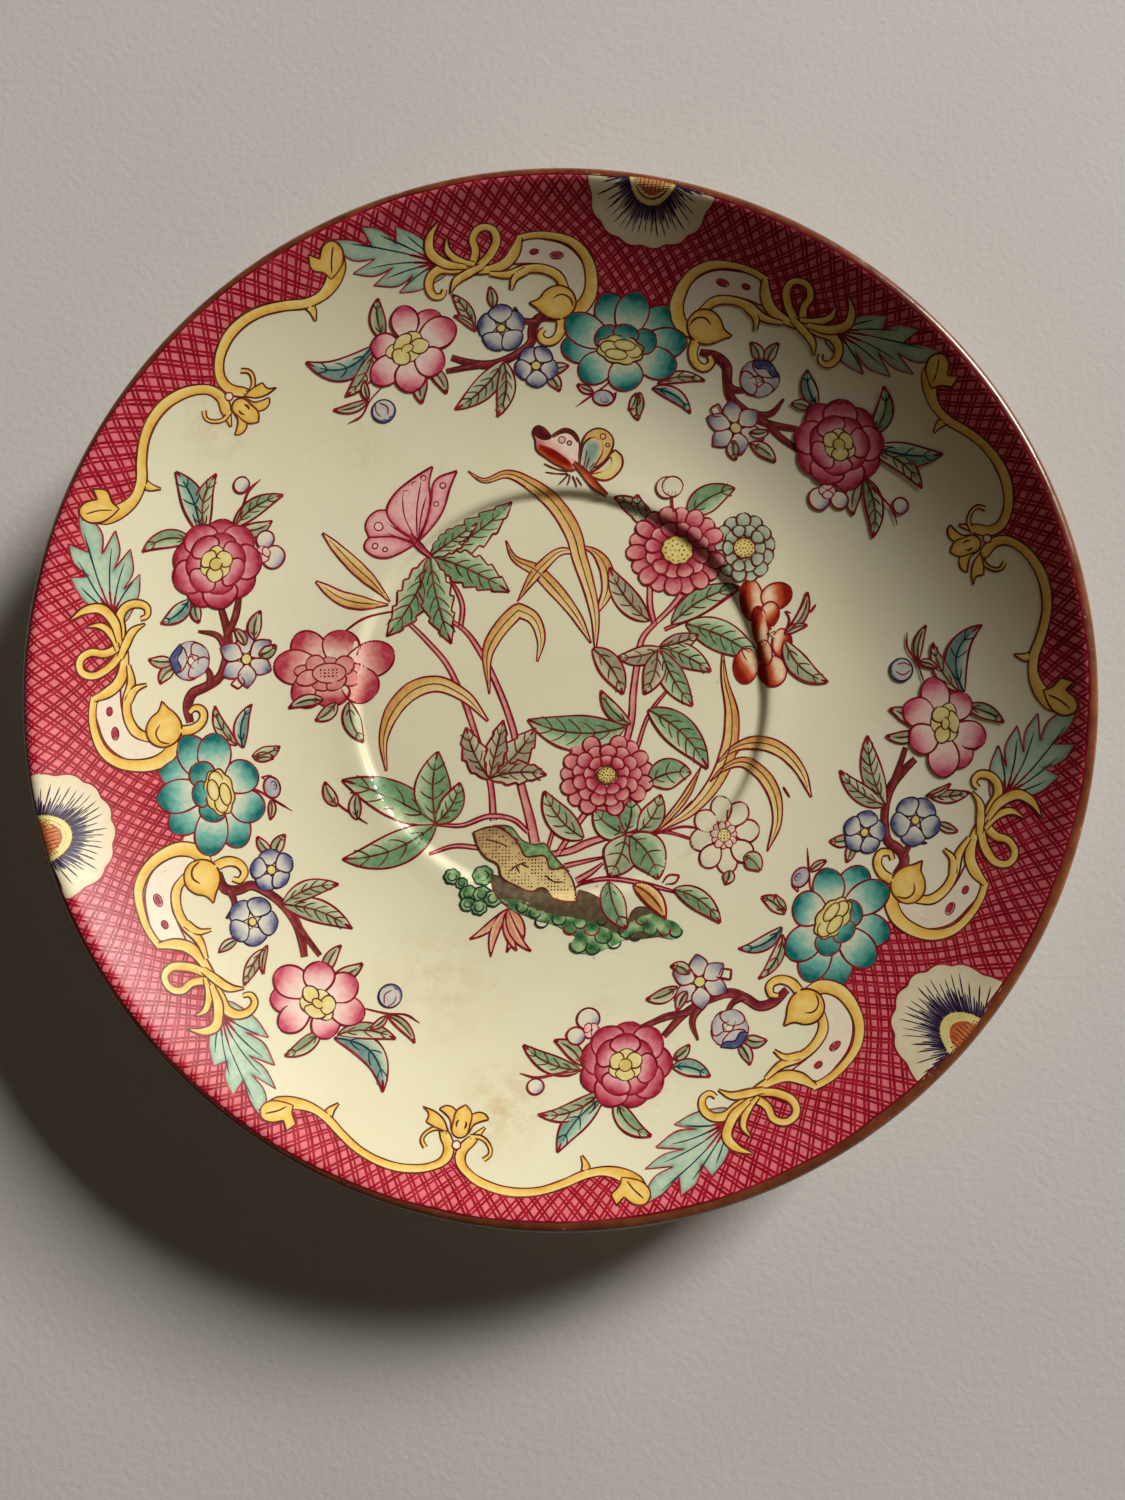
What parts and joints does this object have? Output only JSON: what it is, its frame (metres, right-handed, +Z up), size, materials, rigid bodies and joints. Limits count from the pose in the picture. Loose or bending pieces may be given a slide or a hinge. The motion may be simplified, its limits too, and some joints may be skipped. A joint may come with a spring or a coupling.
{
  "type": "porcelain tea saucer",
  "caption": "Round porcelain saucer with a shallow cup well, foot ring, trellis border, scrollwork and enamelled flower sprays.",
  "frame": {"origin": "centre of the foot ring's flat resting face, on the saucer's axis", "axes": "+Z up along the saucer's axis, towards the dished front; +X and +Y lie in the resting plane, with the first fan rosette 79.6 degrees from +X towards +Y"},
  "size_m": [0.15, 0.15, 0.0212],
  "materials": {
    "biscuit": "unglazed, fine-grained, matt",
    "glaze": "glossy ivory glaze with fine wear",
    "rim_line": "hand-banded iron-red line, semi-gloss",
    "trellis_ground": "pink wash under a crimson trellis print, glossy",
    "fan_enamel": "white enamel with dark rays and a rust centre, glossy",
    "turquoise_enamel": "turquoise enamel shaded to pale, glossy",
    "yellow_enamel": "yellow enamel with brown-red outline, glossy",
    "rose_enamel": "deep rose enamel shaded to pale, glossy",
    "pink_enamel": "pink enamel shaded to pale, glossy"
  },
  "bodies": {
    "root": {"biscuit_body": "biscuit", "glaze_coat": "glaze", "foot_glaze": "glaze", "rim_line": "rim_line", "border_ground": "trellis_ground", "centre_flowers": "rose_enamel", "fan_rosette_1": "fan_enamel", "turquoise_flower_1": "turquoise_enamel", "scroll_frame_1": "yellow_enamel", "rose_spray_1": "rose_enamel", "bloom_spray_1": "pink_enamel", "fan_rosette_2": "fan_enamel", "turquoise_flower_2": "turquoise_enamel", "scroll_frame_2": "yellow_enamel", "rose_spray_2": "rose_enamel", "bloom_spray_2": "pink_enamel", "fan_rosette_3": "fan_enamel", "turquoise_flower_3": "turquoise_enamel", "scroll_frame_3": "yellow_enamel", "rose_spray_3": "rose_enamel", "bloom_spray_3": "pink_enamel"}
  },
  "joints": []
}
